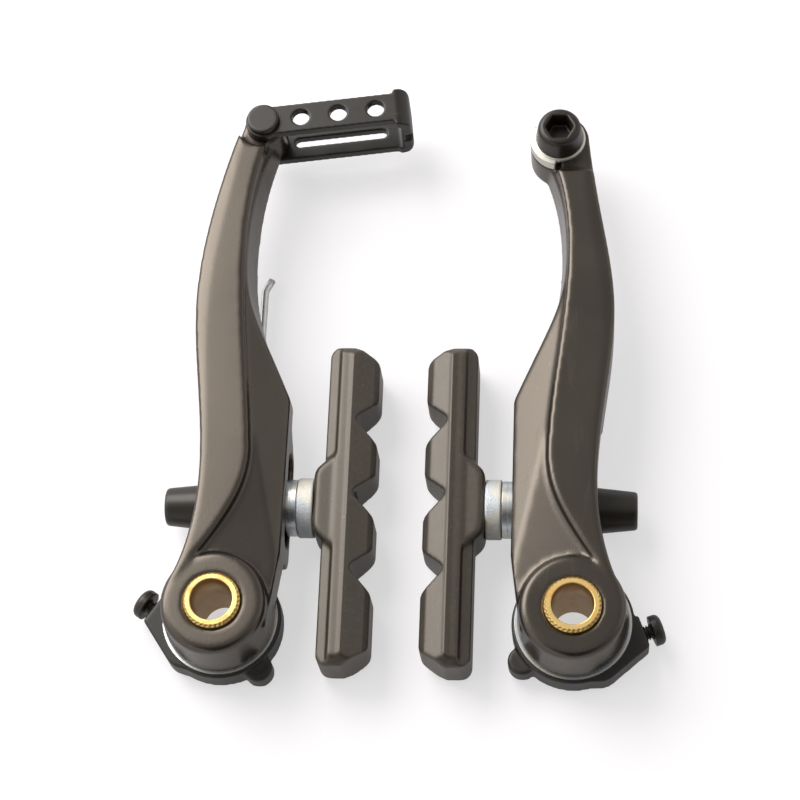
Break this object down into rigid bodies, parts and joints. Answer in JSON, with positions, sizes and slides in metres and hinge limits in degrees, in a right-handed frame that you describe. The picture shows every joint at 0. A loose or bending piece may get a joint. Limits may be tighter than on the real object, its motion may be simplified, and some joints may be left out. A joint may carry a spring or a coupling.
{
  "type": "linear-pull rim brake",
  "caption": "Linear-pull bicycle rim brake: mirrored pivoting arms with rubber pads on adjustable studs, return springs, a cable link and a cable anchor.",
  "frame": {"origin": "midway between the two boss axes, on the plane of the boss seats behind the spring housings", "axes": "+Z along the boss axes out of the frame, +Y from the pivots to the cable ends, +X to the arm with the cable anchor"},
  "size_m": [0.1034, 0.1234, 0.0228],
  "materials": {
    "arm_paint": "satin dark grey paint",
    "bushing_brass": "machined",
    "zinc_steel": "zinc plated",
    "housing_plastic": "moulded black",
    "spring_steel": "drawn wire",
    "black_steel": "blackened, satin",
    "pad_rubber": "moulded, matt",
    "spacer_metal": "sand textured zinc",
    "link_steel": "black sheet, worn edges"
  },
  "bodies": {
    "frame_side": {"left_pivot_bushing": "bushing_brass", "left_backing_washer": "zinc_steel", "left_spring_housing": "housing_plastic", "left_return_spring": "spring_steel", "right_pivot_bushing": "bushing_brass", "right_backing_washer": "zinc_steel", "right_spring_housing": "housing_plastic", "right_return_spring": "spring_steel"},
    "left_arm_unit": {"left_arm": "arm_paint", "left_spring_pin": "spring_steel", "link_rivet": "black_steel"},
    "right_arm_unit": {"right_arm": "arm_paint", "right_spring_pin": "spring_steel", "anchor_bolt": "black_steel", "clamp_washer": "zinc_steel"},
    "link": {"cable_link": "link_steel"},
    "left_pad_carrier": {"left_flat_washer": "zinc_steel", "left_inner_dome_washer": "zinc_steel", "left_outer_dome_washer": "zinc_steel"},
    "left_pad_unit": {"left_brake_pad": "pad_rubber", "left_pad_stud": "zinc_steel", "left_cup_spacer": "spacer_metal", "left_outer_cup_washer": "zinc_steel", "left_pad_nut": "black_steel"},
    "left_screw": {"left_tension_screw": "black_steel"},
    "right_pad_carrier": {"right_flat_washer": "zinc_steel", "right_inner_dome_washer": "zinc_steel", "right_outer_dome_washer": "zinc_steel"},
    "right_pad_unit": {"right_brake_pad": "pad_rubber", "right_pad_stud": "zinc_steel", "right_cup_spacer": "spacer_metal", "right_outer_cup_washer": "zinc_steel", "right_pad_nut": "black_steel"},
    "right_screw": {"right_tension_screw": "black_steel"}
  },
  "joints": [
    {"name": "left_arm_pivot", "type": "hinge", "parent": "frame_side", "child": "left_arm_unit", "pos_m": [-0.034, 0, 0], "axis": [0, 0, 1], "range_deg": [-4, 20], "stiffness_Nm_per_rad": 0.6, "deforming": ["left_return_spring"]},
    {"name": "right_arm_pivot", "type": "hinge", "parent": "frame_side", "child": "right_arm_unit", "pos_m": [0.034, 0, 0], "axis": [0, 0, 1], "range_deg": [-20, 4], "stiffness_Nm_per_rad": 0.6, "deforming": ["right_return_spring"]},
    {"name": "link_pivot", "type": "hinge", "parent": "left_arm_unit", "child": "link", "pos_m": [-0.0305, 0.1036, 0.011], "axis": [0, 0, 1], "range_deg": [-20, 100]},
    {"name": "left_pad_height", "type": "slide", "parent": "left_arm_unit", "child": "left_pad_carrier", "axis": [0, 1, 0], "range_m": [-0.005, 0.008]},
    {"name": "left_pad_angle", "type": "hinge", "parent": "left_pad_carrier", "child": "left_pad_unit", "pos_m": [-0.034, 0.0231, 0.005], "axis": [1, 0, 0], "range_deg": [-30, 30]},
    {"name": "right_pad_height", "type": "slide", "parent": "right_arm_unit", "child": "right_pad_carrier", "axis": [0, 1, 0], "range_m": [-0.005, 0.008]},
    {"name": "right_pad_angle", "type": "hinge", "parent": "right_pad_carrier", "child": "right_pad_unit", "pos_m": [0.034, 0.0231, 0.005], "axis": [1, 0, 0], "range_deg": [-30, 30]},
    {"name": "left_tension", "type": "slide", "parent": "frame_side", "child": "left_screw", "axis": [-0.8261, 0.5635, 0], "range_m": [-0.0015, 0.0018]},
    {"name": "right_tension", "type": "slide", "parent": "frame_side", "child": "right_screw", "axis": [0.9379, 0.3469, 0], "range_m": [-0.0015, 0.0018]}
  ]
}
